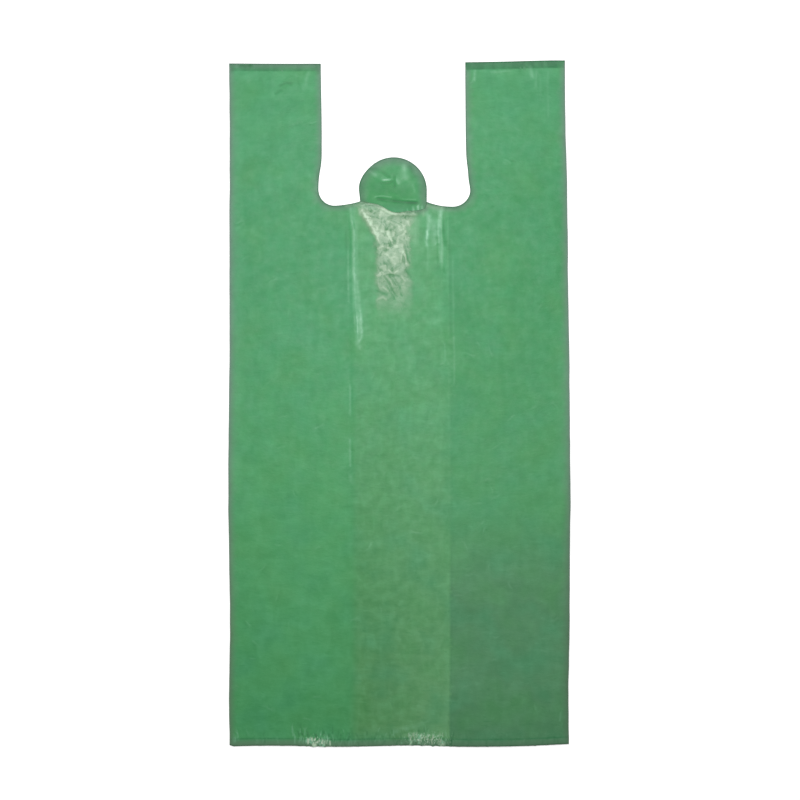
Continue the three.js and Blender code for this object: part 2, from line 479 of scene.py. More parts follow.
# Streaks of painted highlight where the taut film catches the lamp, and a few of painted shade
STREAKS = hand_placed(
    (2.8, 0.3, 0.31, (-40.3, 171.6), (-38.8, 160.2), (-38.2, 147.8), (-38.6, 126.7), (-38, 104.7),
     (-37.2, 87.1), (-36.2, 80), (-35.4, 62)),
    (0.9, 0.25, 0.2, (-40, 160), (-38.8, 150), (-38.9, 126.7), (-38.6, 104.7), (-38.1, 84.5),
     (-36.8, 73.9), (-36.6, 61.6)),
    (1.2, 0.15, 0.16, (-36, 108), (-34.4, 88), (-33.2, 76)),
    (1.3, 0.3, 0.5, (-33.9, 82), (-33, 72.2), (-32.6, 60.7), (-35.1, 54.6)),
    (1.6, 0.15, 0.24, (-37.2, 76), (-36.7, 68), (-36.5, 56)),
    (2, 0.2, 0.32, (-36.9, 52.8), (-34.7, 49.3)),
    (1.8, 0.15, 0.2, (-44.5, 133.8), (-44.3, 113.5), (-44, 89.8)),
    (1.3, 0.15, 0.16, (-41.5, 171), (-40.5, 158)),
    (1, 0.2, 0.26, (-42.8, 15.8), (-42.9, -7)),
    (1, 0.2, 0.3, (-43.1, -31.7), (-42.7, -54.6)),
    (1.8, 0.15, 0.25, (-42.6, -64.2), (-40.9, -69.5)),
    (2.2, 0.35, 0.36, (28.3, 165), (27.8, 158), (26.2, 148)),
    (1.5, 0.25, 0.75, (26.2, 152), (25.5, 146.5), (25, 140)),
    (2.5, 0.3, 0.56, (39.4, 174), (37.9, 162), (35.7, 150)),
    (2.2, 0.2, 0.36, (37, 147), (38.2, 137), (37.6, 125)),
    (2.2, 0.15, 0.26, (32, 160.2), (32.2, 142.6)),
    (9, 0.05, 0.1, (31, 168), (32, 138)),
    (1.1, 0.1, 0.09, (48.4, 130), (48.5, 90), (48.3, 50)),
    (1.2, -0.08, -0.09, (45.4, 140), (45.6, 60)),
    (1.2, 0.1, 0.12, (41.5, 138), (42, 116)),
    (1, 0.12, 0.15, (48.9, 58.1), (48.7, 17.6)),
    (1, 0.15, 0.22, (40, 52.8), (40.4, 38.7), (37.2, 34.8)),
    (2.2, -0.1, -0.14, (20.4, 168), (20.6, 142)),
    (3.6, 0.1, 0.06, (15, 168), (15.5, 138)),
    (1.2, -0.2, -0.28, (-31, 161.9), (-25.7, 152.2), (-21.4, 141.7), (-19.7, 132)),
)
HANDLE_CREASES = hand_placed(
    (1, -0.15, -0.3, (-88.7, 287), (-88, 282)),
    (1.2, -0.15, -0.42, (-104, 281), (-99, 283), (-95, 282.5)),
    (1.3, -0.15, -0.4, (-109, 273.5), (-104, 276.5)),
    (1.6, -0.15, -0.14, (-97, 270), (-90, 266.5), (-84, 267)),
    (1.6, 0.15, 0.16, (-91, 291), (-89, 287)),
    (1.5, 0.2, 0.2, (-79, 292), (-81, 288), (-82, 281)),
    (2.4, 0.15, 0.1, (-112, 289), (-111, 274)),
    (2.2, 0.15, 0.14, (-133, 290), (-133, 284)),
    (1.6, 0, -0.9, (-140, 298), (-131, 298)),
    (2.5, 0, -0.35, (-147.5, 298), (-147, 294)),
    (2, 0, -0.3, (-71.5, 298.5), (-70.5, 292)),
    (4.5, 0.1, 0.1, (-103, 270), (-91, 278)),
    (4, -0.1, -0.15, (-101, 258.5), (-88.5, 264)),
    (4.5, 0.1, 0.07, (-116, 263), (-107, 274)),
    (1.6, -0.1, -0.2, (-122.5, 287), (-119, 282)),
    (1.6, -0.1, -0.16, (-94, 244.8), (-88.5, 247)),
    (1.2, 0.15, 0.14, (-85, 282), (-84, 277)),
    (1.3, 0.3, 0.5, (69.6, 292.2), (69, 284.5)),
    (2.2, 0, -0.25, (63, 299), (63.5, 293.5)),
    (0.9, 0.15, 0.3, (84, 291.2), (93, 291.5), (101, 291.9)),
    (1.8, 0.2, 0.38, (119, 294), (121, 286)),
    (1.2, 0.1, 0.2, (125, 292), (124, 279)),
    (1.2, 0.1, 0.12, (135, 290), (135, 252)),
    (1.2, 0.1, 0.1, (128, 288), (128.5, 270)),
)
# Creases on the tab, with their painted light and shade
TAB_CREASES = hand_placed(
    (1.3, -0.35, -0.42, (-17.6, 180.4), (-8.7, 179.1), (2, 177.8), (17.1, 176.9)),
    (1.5, -0.1, -0.3, (-3, 178.4), (6, 177.5), (16, 176.9)),
    (1, 0.2, 0.2, (-19.3, 182.2), (-14, 183), (-6, 182)),
    (1.1, 0.15, 0.16, (4, 180), (16, 179.4)),
    (1.3, 0.35, 0.36, (-12.6, 197.1), (-7.7, 197.3)),
    (1, -0.25, -0.36, (-15.3, 194.5), (-10.4, 194.5), (-5, 195.8)),
    (0.9, -0.2, -0.3, (-2.8, 200.6), (-2.7, 191)),
    (1.7, 0.2, 0.22, (-1.4, 197.1), (0.8, 194.5)),
    (1.2, -0.2, -0.26, (-25.4, 207), (-18.3, 207.2), (-12.1, 203.3), (-8.1, 200.2)),
    (1.8, 0.2, 0.16, (-23.6, 204.2), (-19.2, 201.5)),
    (2.9, 0.3, 0.2, (5.8, 210.1), (6.6, 199.8)),
    (1.6, -0.2, -0.25, (11.1, 208.6), (15.5, 200.6)),
    (1.3, 0.15, 0.12, (-6.9, 184.8), (0.2, 183)),
    (7, 0.1, -0.16, (-20, 191), (6, 187)),
    (1.6, -0.15, -0.16, (18, 196), (20, 184)),
    (1.4, 0.15, 0.12, (13, 193), (15, 187)),
    (1.2, 0.1, 0.34, (13.4, 173.5), (14.4, 169)),
    (1.1, 0.1, 0.38, (18, 174), (18.4, 169.5)),
    (0.9, 0.1, 0.2, (8.4, 171.6), (9, 168.6)),
    (3.2, 0, -0.13, (-32, 192), (-31.5, 180)),
    (2.8, 0, -0.2, (-8, 174.6), (13, 173.6)),
    (5, 0, 0.11, (-14, 197.5), (0, 196)),
    (1, 0.1, 0.3, (21.4, 173.8), (22, 169.6)),
)


def small_creases(count, seed):
    """Short creases over the whole front, most of them across it, with painted light on one side and painted
    shade on the other.
    """
    chance = random.Random(seed)
    made = []
    for _ in range(count):
        centre = np.array([chance.uniform(-143, 143), chance.uniform(BOTTOM + 14, TOP - 12)])
        angle = chance.gauss(0.1, 0.7)
        along = np.array([math.cos(angle), math.sin(angle)])
        aside = np.array([-along[1], along[0]])
        half = chance.uniform(0.9, 2.8) * along
        bend = chance.uniform(-0.6, 0.6) * aside
        tone = chance.choice((-1, 1)) * chance.uniform(0.06, 0.2)
        for shift, share in ((0, 1), (1.4, -0.8)):
            middle = centre + shift * aside
            line = [middle - half, middle + bend, middle + half]
            made.append(Crease(line, 0.9, 0.06 * share, tone * share))
    return tuple(made)


def upright_creases(*rows):
    """Creases that run down: rows of count, seed, strip, lengths, slant, range of painted light and shade,
    half width and height.
    """
    made = []
    for count, seed, (left, right, low, high), lengths, slant, light_and_shade_range, half_width, rise in rows:
        chance = random.Random(seed)
        for _ in range(count):
            x, y = chance.uniform(left, right), chance.uniform(low, high)
            end = (x + chance.uniform(-slant, slant), y - chance.uniform(*lengths))
            made.append(Crease([(x, y), end], half_width, rise, chance.uniform(*light_and_shade_range)))
    return tuple(made)


# Strips in which upright creases start: left, right, lowest and highest
LEFT_SPARKS = (-83, -61, BOTTOM + 1.5, BOTTOM + 8.5)
LEFT_RUFFLE = (-95, -48, BOTTOM + 6, BOTTOM + 17)
MIDDLE_RUFFLE = (-56, 4, BOTTOM + 4, BOTTOM + 16)
RIGHT_SPARKS = (8, 40, BOTTOM + 2, BOTTOM + 11.5)
RIGHT_RUFFLE = (-8, 50, BOTTOM + 4, BOTTOM + 15)
LEFT_CORNER = (-148, -142, BOTTOM + 6, BOTTOM + 13)
WHOLE_BOTTOM = (-147, 147, BOTTOM + 4, BOTTOM + 13)
RIGHT_OF_CRUMPLE = (12, 48, 150, 173)
LEFT_OF_CRUMPLE = (-47, -34, 150, 172)
LOW_CREASES = hand_placed(
    (4, 0.15, 0.1, (8, BOTTOM + 5), (24, BOTTOM + 6.5), (40, BOTTOM + 4)),
    (3, 0.15, 0.15, (-82, BOTTOM + 3), (-64, BOTTOM + 3)),
    (13, 0, -0.18, (-11, -232), (-10, -260)),
    (14, 0, 0.05, (-28, -36), (-26, -70)),
    (9, 0, 0.04, (-48, -36), (-50, -60)),
    (2.2, 0.15, 0.2, (-6, BOTTOM + 11.2), (6, BOTTOM + 14.5), (18, BOTTOM + 17)),
    (0.9, 0.1, 0.22, (143.2, BOTTOM + 28), (142.2, BOTTOM + 21)),
    (0.9, 0.1, 0.16, (144.4, BOTTOM + 19), (143.8, BOTTOM + 15)),
    (0.9, -0.1, -0.35, (143.4, BOTTOM + 12.5), (145.2, BOTTOM + 10)),
)

# Marks that whiten the film with painted glare, and marks that paint light and shade on it
PALE_AND_GLARE_MARKS = CRUMPLE_CREASES + upright_creases(
    (18, 14, LEFT_SPARKS, (1, 3.4), 0.9, (0.6, 1.6), 0.6, 0.2),
    (56, 15, RIGHT_SPARKS, (1.2, 3.8), 1.8, (0.05, 0.75), 0.45, 0.2),
)
FRONT_MARKS = HANDLE_CREASES + small_creases(90, 5) + upright_creases(
    (16, 6, RIGHT_OF_CRUMPLE, (12, 55), 1, (-0.16, 0.2), 1.3, 0.08),
    (6, 7, LEFT_OF_CRUMPLE, (15, 60), 1, (-0.16, 0.1), 1.2, 0.08),
    (90, 8, WHOLE_BOTTOM, (2, 8), 1.5, (-0.3, 0.05), 0.8, 0.1),
    (60, 9, LEFT_RUFFLE, (3, 8), 1.4, (-0.5, 0.46), 0.55, 0.1),
    (70, 10, RIGHT_RUFFLE, (2.5, 7), 2, (-0.45, 0.2), 0.55, 0.1),
    (70, 16, MIDDLE_RUFFLE, (2, 6), 2.2, (-0.36, 0.26), 0.6, 0.1),
    (34, 3, LEFT_SPARKS, (1.2, 4.2), 0.9, (0.3, 1), 0.55, 0.25),
    (70, 4, RIGHT_SPARKS, (0.9, 3), 1.4, (0.05, 0.6), 0.5, 0.2),
    (7, 13, LEFT_CORNER, (1.5, 4), 1.2, (0.1, 0.35), 0.7, 0.1),
    (40, 11, WHOLE_BOTTOM, (1.5, 5), 1.5, (0.02, 0.16), 0.8, 0.1),
) + LOW_CREASES


def marks(x, y, creases):
    """The summed height, and painted light and shade, of the creases at each point."""
    points = np.column_stack([x, y])
    height = np.zeros(len(points))
    tone = np.zeros(len(points))
    for crease in creases:
        line = smooth_line(crease)
        reach = 3 * crease.half_width
        near = np.all((points > line.min(axis=0) - reach) & (points < line.max(axis=0) + reach), axis=1)
        profile = band(distance_to(points[near], line, False), 0, crease.half_width)
        height[near] += crease.rise * profile
        tone[near] += crease.tone * profile
    return height, tone


# The crumple below the tab: its sides at the lip and further down, and its facets

CRUMPLE_TOP = 172
CRUMPLE_FADE = (68, 120)
CRUMPLE_LEFT = (-34.5, -20.5)
CRUMPLE_RIGHT = (17.5, 10.6)
FACET_COUNT = 330
FACET_SEED = 12
FACETS_ACROSS = (-38, 24)
FACETS_ALONG = (70, 180)
FACET_WARP = 1.8
RIDGE_WIDTH = 0.6


def crumple_mask(x, y):
    """Where the front panel is crumpled: wide at the lip, narrower further down."""
    depth = CRUMPLE_TOP - y
    down = ease(depth, 0, 32)
    left = mix(*CRUMPLE_LEFT, down)
    right = mix(*CRUMPLE_RIGHT, ease(depth, 3, 17))
    ragged = 3.4 * perlin(x, y, 7.5, seed=36) + 2 * perlin(x, y, 3.2, seed=37)
    across = x + mix(0.35, 1, down) * ragged
    from_left = ease(across, left - 2, left + 4.5)
    to_right = 1 - ease(across, right - 5, right + 3.5)
    return from_left * to_right * ease(y, *CRUMPLE_FADE)


def torn_flap(x, y):
    """The loose film at the torn lip, above a line that runs slightly askew."""
    return ease(y + 0.12 * x, 166.5, 169.5)


def facet_field(x, y):
    """Which way the crumple's facets face at each place, and the ridges (1) and cracks (-1) between them."""
    chance = random.Random(FACET_SEED)
    tree = KDTree(FACET_COUNT)
    facing = []
    for i in range(FACET_COUNT):
        tree.insert((chance.uniform(*FACETS_ACROSS), chance.uniform(*FACETS_ALONG), 0), i)
        facing.append(chance.gauss(0, 1))
    tree.balance()
    facet = np.zeros(len(x))
    ridge = np.zeros(len(x))
    for k, place in enumerate(zip(x, y)):
        (_, i, near), (_, j, next_near) = tree.find_n((*place, 0), 2)
        facet[k] = facing[i]
        border = math.exp(-(((next_near - near) / RIDGE_WIDTH) ** 2))
        ridge[k] = border if (i + j) % 3 == 0 else -border
    return facet, ridge


def crumple_facets(x, y):
    """The crumple's height, and its whitening with painted glare."""
    warp_x = FACET_WARP * perlin(x, y, 5, seed=31)
    warp_y = FACET_WARP * perlin(x, y, 5, seed=32)
    facet, ridge = facet_field(x + warp_x, y + warp_y)
    ridge *= 0.1 + 0.5 * ease(perlin(x, y, 9, seed=39), -0.15, 0.4)
    smudges = ease(perlin(x + 2 * warp_x, y - 0.6 * x, 4.6, seed=38), 0.1, 0.5)
    swell = perlin(x, y, 8, seed=34)
    height = 0.5 + 0.3 * swell + 0.05 * facet + 0.35 * ridge - 0.15 * smudges
    patches = perlin(x, y, 9, seed=40)
    grain = perlin(x, y, 2.6, seed=33)
    # Whitening of the crumpled film, with painted glare on its facets and ridges
    whitening_and_glare = 0.61 + 0.2 * patches + 0.16 * facet + 0.08 * grain
    whitening_and_glare += np.where(ridge > 0, 0.35, 1) * ridge - 0.26 * smudges
    whitening_and_glare *= mix(1, 0.68, ease(CRUMPLE_TOP - y, 14, 80))
    whitening_and_glare *= mix(1, 0.66 + 0.009 * x, torn_flap(x, y))
    return height, np.clip(whitening_and_glare, 0.03, 1.2)


# How the bag lies: height, wavelength and seed of its broad waves, and of the bends in its front

LAY_WAVES = ((0.8, 130, 11.3), (0.5, 62, 12.9), (0.22, 31, 13.7))
LAY_HEIGHT = 0.75
BENDS = ((0.3, 34, 22), (0.16, 17, 23))


def weld_pucker(x, y):
    """Small gathers along the welds, which die out away from them."""
    from_weld = np.minimum(np.abs(y - BOTTOM_WELD), np.abs(y - HANDLE_WELD))
    ribs = perlin(x, y * 0.25, 3.4, seed=3.1) + 0.6 * perlin(x, y * 0.3, 1.8, seed=5.2)
    return 0.3 * np.exp(-from_weld / 6) * np.abs(ribs)


def lay_lift(x, y):
    """How far the whole bag stands off the surface that it lies on."""
    broad = sum(rise * perlin(x, y, wavelength, seed) for rise, wavelength, seed in LAY_WAVES)
    return np.maximum(broad + LAY_HEIGHT, 0) + weld_pucker(x, y)


def film_wrinkles(x, y):
    """Soft waves over the front, and sharper bends where the film was once folded."""
    waves = 0.2 * perlin(x, y, 26, seed=21, stretch=1.6)
    bent = 0
    for depth, wavelength, seed in BENDS:
        askew = x + 0.5 * y + 6 * perlin(x, y, 15, seed + 0.5)
        bent = bent + depth * (0.35 - np.abs(perlin(askew, y, wavelength, seed, stretch=1.4)))
    return waves + bent


# Surfaces of the layers: their height, and the values that their colour and shine depend on

def fold_shading(x, y):
    """The painted light and shade beside the inner folds, and the painted light beside the outer folds."""
    on_right = x > 0
    past_fold = INNER_FOLD - np.abs(x)
    patchy = np.clip(0.5 + 1.3 * perlin(np.sign(x), y, 24, seed=65), 0, 1.3)
    right_strength = mix(patchy, 1, ease(-y, 110, 170))
    strength = np.where(on_right, right_strength, 0.6 * patchy)
    lit = 0.07 * band(past_fold, 2.6, 2.4)
    shaded = 0.14 * band(past_fold, -0.8, 0.9)
    inner = (lit - shaded) * strength * ease(LIP_LOW - y, 0, 20)
    right_side = ease(60 - y, 0, 40) * ease(y, -110, -70)
    left_side = ease(y, -110, -30)
    on_lit_side = np.where(on_right, right_side, left_side)
    return inner + 0.075 * on_lit_side * band(outer_line(y) - np.abs(x), 7, 4.5)


def front_panel(x, y):
    """The front panel: on the gussets at the sides, sagging between them, creased and wrinkled."""
    pitch = pitch_at(y)
    loose = pitch / LAYER_PITCH
    past_fold = INNER_FOLD - np.abs(x)
    level = pitch * mix(SIDE_LIFT, MIDDLE_LIFT, ease(past_fold, 0, SAG_WIDTH))
    crumpled = crumple_mask(x, y)
    in_crumple = crumpled > 0
    facets = np.zeros(len(x))
    whitening_and_glare = np.zeros(len(x))
    facets[in_crumple], whitening_and_glare[in_crumple] = crumple_facets(x[in_crumple], y[in_crumple])
    pale_height, marked_pale_and_glare = marks(x, y, PALE_AND_GLARE_MARKS)
    mark_height, mark_light_and_shade = marks(x, y, FRONT_MARKS)
    streak_height, streak_light_and_shade = marks(x, y, STREAKS)
    bent = pale_height + mark_height + streak_height
    relief = loose * (film_wrinkles(x, y) + crumpled * facets) + np.where(bent > 0, bent, loose * bent)
    clear_of_folds = ease(outer_line(y) - np.abs(x), 0, 5)

    # Painted light and shade: of the creases and streaks, beside the folds, and darker at the low right past
    # the right fold
    uneven = np.clip(0.8 + 0.6 * perlin(x, y, 7, seed=61) + 0.4 * perlin(x, y, 2.5, seed=62), 0.2, 1.4)
    streak_light_and_shade *= uneven
    past_right_fold = ease(x, INNER_FOLD - 2, INNER_FOLD + 2)
    low_right = past_right_fold * ease(-y, -BOTTOM - 32, -BOTTOM - 8)
    tone = streak_light_and_shade + uneven * mark_light_and_shade + fold_shading(x, y) - 0.09 * low_right
    around_crumple = band(x, -5, 24) * ease(y, 70, 110) * (1 - crumpled)
    soft_left = ease(past_fold, -1, 11)
    sharp_right = ease(past_fold, -0.6, 1)
    # Painted glints on whitened film near the bottom weld
    right_sparks = spot(x, y - BOTTOM, (25, 6), (14, 4))
    left_sparks = spot(x, y - BOTTOM, (-72, 5), (9, 4))
    values = {
        "middle": np.where(x > 0, sharp_right, soft_left),
        "tone": np.clip(tone, -1, 1),
        # Whitened film with painted glare: the crumple, its marks, and faintly around the crumple
        "pale_and_glare": np.clip(crumpled * whitening_and_glare + marked_pale_and_glare + 0.07 * around_crumple, 0, 1.6),
        # Painted shade under the crumple's whitening, less on the torn flap
        "crumple_shade": 0.6 * crumpled * (1 - 0.75 * torn_flap(x, y)),
        "shine": np.clip(0.4 * crumpled + 0.6 * streak_light_and_shade, 0, 1),
        "sparkle": right_sparks + 0.7 * left_sparks,
    }
    return level + clear_of_folds * relief, values


def back_panel(x, y):
    """The back panel: flat but for its tab."""
    height, tone = marks(x, y, TAB_CREASES)
    on_tab = ease(y, LIP_LOW - 4, LIP_FOOT + 2)
    above_tear = ease(y, LIP_LOW - 10, LIP_LOW - 4)
    uneven = 1.3 + 0.6 * perlin(x, y, 6, seed=63)
    # Painted light and shade of the tab's creases
    tone = np.clip(above_tear * uneven * tone, -1, 1)
    up_and_right = (x - PUNCH_OFFSET) / 60 + (y - TAB_CENTRE) / 22 + 0.5 * perlin(x, y, 14, seed=64)
    values = {
        "tone": tone,
        "shine": np.clip(tone, 0, 1),
        # Painted shade on the tab, darkest at its lower left, where it catches no sheen
        "tab_shade": on_tab * mix(0.9, 0, ease(up_and_right, -0.3, 0.8)),
    }
    return on_tab * (height + 0.1 * perlin(x, y, 9, seed=41) + 0.3), values


def gusset_surface(number):
    """A gusset's layer, the first or second up from the back panel."""
    return lambda x, y: (number * pitch_at(y), {})


# How far the outline wanders from straight: places along each edge, and the shift there

LEFT_SIDE = (
    (-300, 0.5), (-252, 0.1), (-187, 1), (-128, 0.2), (-85, -0.5), (0, 0.1), (90, 0.6),
    (220, 0.6), (300, 0.2),
)
RIGHT_SIDE = (
    (-300, 0.3), (-248, -0.7), (-200, -0.1), (-120, 0), (-70, 0.4), (100, 0.2), (150, 0.6),
    (210, 0.3), (245, -0.4), (300, 0.5),
)
BOTTOM_EDGE = (
    (-150, -0.3), (-125, 0), (-95, -0.4), (-55, -1.2), (12, -0.5), (55, -1.8), (85, -1.8),
    (120, -1.2), (150, 0),
)
TOP_EDGE = ((-150, -0.45), (-70, -0.75), (70, 0.75), (130, 2.1), (150, 2.2))
WIDEST = -84

# Where the tab's left edge and the mouth's right corner are pulled to the left: centre, reach and pull
PULLED_LEFT = (((-32, 193), (12, 14), 2), ((66, 198), (10, 8), 1.3))


def wander(edge, places):
    """The shift along an edge, on a smooth line through its points."""
    line = spline(edge, EDGE_STEPS)
    return np.interp(places, line[:, 0], line[:, 1])


def sideways_lean(x, y):
    """Sideways shift of the film as it lies: the right side leans in, and both sides wander."""
    across = (x + HALF_WIDTH) / (2 * HALF_WIDTH)
    up = np.clip((y - WIDEST) / (TOP - WIDEST), 0, 1)
    down = np.clip((WIDEST - y) / (WIDEST - BOTTOM), 0, 1)
    inward = 5 * up**1.3 + 1.3 * down**1.5
    side = np.sign(x)
    wobble = 0.5 * perlin(np.zeros_like(y), y, 95, seed=51) + 0.2 * perlin(side, y, 30, seed=52)
    at_side = ease(np.abs(x), HALF_WIDTH - 18, HALF_WIDTH)
    wobble = wobble + 0.22 * at_side * perlin(40 * side, y, 14, seed=55)
    shift = wobble - across * inward
    shift = shift + ease(-x, 35, 75) * wander(LEFT_SIDE, y)
    shift = shift + ease(x, 35, 75) * wander(RIGHT_SIDE, y)
    for centre, reach, pull in PULLED_LEFT:
        shift = shift - pull * spot(x, y, centre, reach)
    return shift


def lengthways_lean(x, y):
    """Lengthways shift of the film as it lies: both ends are uneven, and the bottom edge is frayed."""
    at_top = ease(y, TOP - 120, TOP)
    at_bottom = ease(-y, -BOTTOM - 60, -BOTTOM)
    at_skirt = 1 - ease(y - BOTTOM, 0, 5)
    bottom_slope = 0.8 * x / HALF_WIDTH + 0.35 * perlin(x, np.zeros_like(x), 60, seed=53)
    ends = at_top * wander(TOP_EDGE, x) + at_bottom * (bottom_slope + wander(BOTTOM_EDGE, x))
    poking = band(x, -72, 9) + 0.5 * band(x, 26, 16) + 0.15
    frayed = -2.2 * poking * np.maximum(perlin(x, np.zeros_like(x), 3.2, seed=54), 0)
    left_corner = 1.2 * ease(-x, HALF_WIDTH - 3.5, HALF_WIDTH)
    left_lip = 1.1 * spot(x, y, (-47, LIP_LOW), (18, 11))
    return ends + at_skirt * (frayed + left_corner) + left_lip


# The film, layer by layer and fold by fold

PIECE = "carrier_bag_film"
# Painted shade along the edges: its share on the folds, and its reach on the tab
FOLD_EDGE_SHADE = 0.9
TAB_EDGE_SHADE_REACH = 1.5
SURFACE_VALUES = (
    "middle", "weld", "edge_shade", "tone", "pale_and_glare", "shine", "tab_shade", "skirt", "sparkle", "crumple_shade",
)
FOLD_ROWS = (-6, -3, -1.4, 0, 0.9, 2.2)
WELD_ROWS = (
    BOTTOM_WELD - 1.1, BOTTOM_WELD, BOTTOM_WELD + 1.1, HANDLE_WELD + 0.6, HANDLE_WELD + 1.8,
)


class Layer(NamedTuple):
    """A layer or a fold of the film: its corners, their heights, its triangles and its surface values."""

    flat: np.ndarray
    height: np.ndarray
    triangles: np.ndarray
    values: dict


def weld_band(x, y):
    """Where welding darkened the film: the skirts of the handles, and a line at the bottom."""
    skirt = np.where(x < 0, 0.68, 0.96) * ease(y - HANDLE_WELD, 0.7, 1.7)
    return skirt + 0.7 * band(y, BOTTOM_WELD, 0.7)


def around_mouth(x, y):
    """The part of a panel beside the mouth's lips and around the tab."""
    above = ease(y, LIP_LOW - 12, LIP_LOW - 6)
    below = 1 - ease(y, LIP_LOW + 48, LIP_LOW + 60)
    return above * below * (np.abs(x) < HALF_MOUTH + 8)


def film_layer(outline, points, surface, edge_shade_reach=1):
    """One flat layer, with the height and the surface values that its surface has at each place."""
    flat, triangles = triangulate(outline, points)
    x, y = flat.T
    height, values = surface(x, y)
    from_edge = distance_to(flat, outline, True) / edge_shade_reach
    # Painted shade along the edges, less on pale film and on the tab's shade; painted shade also darkens the
    # ends and the mouth's cut edges
    edge_shade = 0.55 * (1 - ease(from_edge, 0.8, 6.5)) + 0.35 * (1 - ease(from_edge, 0.2, 1.8))
    on_right_skirt = (x > 0) * ease(y, HANDLE_WELD, HANDLE_WELD + 1.5)
    covered = np.maximum(np.minimum(values.get("pale_and_glare", 0), 1), 0.6 * on_right_skirt)
    at_end = 1 - ease(np.minimum(y - BOTTOM, TOP - y), 0.6, 2.4)
    at_cut = around_mouth(x, y) * (1 - ease(from_edge, 0.8, 4.4))
    at_cut *= mix(1, 0.6, ease(y, TAB_CENTRE + 8, TAB_CENTRE + 20))
    values["edge_shade"] = edge_shade * (1 - np.maximum(covered, 0.25 * values.get("tab_shade", 0)))
    values["skirt"] = 0.75 * (1 - ease(y, BOTTOM_WELD - 1.6, BOTTOM_WELD - 0.5))
    values["weld"] = weld_band(x, y)
    values["tone"] = values.get("tone", 0) - 0.2 * at_end - 0.5 * at_cut
    return Layer(flat, height + FILM / 2 + lay_lift(x, y), triangles, values)


def film_fold(line, side, middle_level, outward):
    """A half-round fold along a line, joining the layers half a pitch below and above its middle."""
    x, y = line.T
    pitch = pitch_at(y)
    angles = np.radians(np.linspace(-90, 90, FOLD_TURNS + 1))[:, None]
    bulge = outward * side * np.cos(angles) * pitch / 2
    height = (middle_level + np.sin(angles) / 2) * pitch + FILM / 2 + lay_lift(x, y)
    flat = np.column_stack([(x + bulge).ravel(), np.tile(y, FOLD_TURNS + 1)])
    a = np.arange(FOLD_TURNS * len(x)).reshape(-1, len(x))[:, :-1].ravel()
    b, c, d = a + 1, a + len(x) + 1, a + len(x)
    corners = (a, b, c, a, c, d) if side * outward > 0 else (a, c, b, a, d, c)
    values = {"edge_shade": FOLD_EDGE_SHADE, "weld": weld_band(*flat.T)}
    return Layer(flat, height.ravel(), np.column_stack(corners).reshape(-1, 3), values)


def fold_edge_points():
    """Rows of points along the front panel, where the gussets' inner folds show through it."""
    places = np.arange(BOTTOM + FOLD_STEP, LIP_LOW, FOLD_STEP)
    across = [side * (INNER_FOLD + aside) for aside in FOLD_ROWS for side in (-1, 1)]
    return np.vstack([np.column_stack([np.full(len(places), x), places]) for x in across])


def weld_points():
    """Rows of points along the edges of the welds, on the front panel."""
    places = np.arange(-HALF_WIDTH, HALF_WIDTH, OUTLINE_STEP)
    return np.vstack([np.column_stack([places, np.full(len(places), y)]) for y in WELD_ROWS])


# Finely divided zones: their low and high corners, and their step

CRUMPLE_HIGH_ZONE = ((-37, 126), (24, 178), CRUMPLE_STEP)
CRUMPLE_LOW_ZONE = ((-25, 72), (15, 126), CRUMPLE_STEP)
TAB_ZONE = ((-36, 166), (29, 220), TAB_STEP)


def end_zones(step):
    """The zones along the bottom edge and over the ends of the handles."""
    bottom = ((-150, BOTTOM), (150, BOTTOM + END_REACH), step)
    top = ((-150, TOP - END_REACH), (150, TOP), step)
    return bottom, top


def spark_zone(strip):
    """The zone around a strip of sparks, down to the bottom edge."""
    left, right, _, high = strip
    return ((left - 1, BOTTOM), (right + 1, high), SPARK_STEP)


def front_layer():
    outline = panel_outline(torn_edge())
    sparks = (spark_zone(LEFT_SPARKS), spark_zone(RIGHT_SPARKS))
    zones = (*end_zones(END_STEP), CRUMPLE_HIGH_ZONE, CRUMPLE_LOW_ZONE, *sparks)
    rows = (weld_points(), fold_edge_points(), crease_points(STREAKS + PALE_AND_GLARE_MARKS + FRONT_MARKS))
    return film_layer(outline, graded_points(outline, PLAIN_STEP, zones, rows), front_panel)


def back_layer():
    outline = panel_outline(tab_edge())
    zones = (TAB_ZONE, *end_zones(HIDDEN_END_STEP))
    points = graded_points(outline, HIDDEN_STEP, zones, (crease_points(TAB_CREASES),))
    return film_layer(outline, points, back_panel, TAB_EDGE_SHADE_REACH)


def gusset_layers(side):
    """A gusset's two layers, and its inner fold between the two outer ones."""
    outline = gusset_outline(side)
    points = graded_points(outline, HIDDEN_STEP, (), ())
    outer, inner = outer_fold_line(side), inner_fold_line(side)
    flats = [film_layer(outline, points, gusset_surface(number)) for number in (1, 2)]
    folds = [film_fold(outer, side, 0.5, 1), film_fold(inner, side, 1.5, -1), film_fold(outer, side, 2.5, 1)]
    return flats + folds


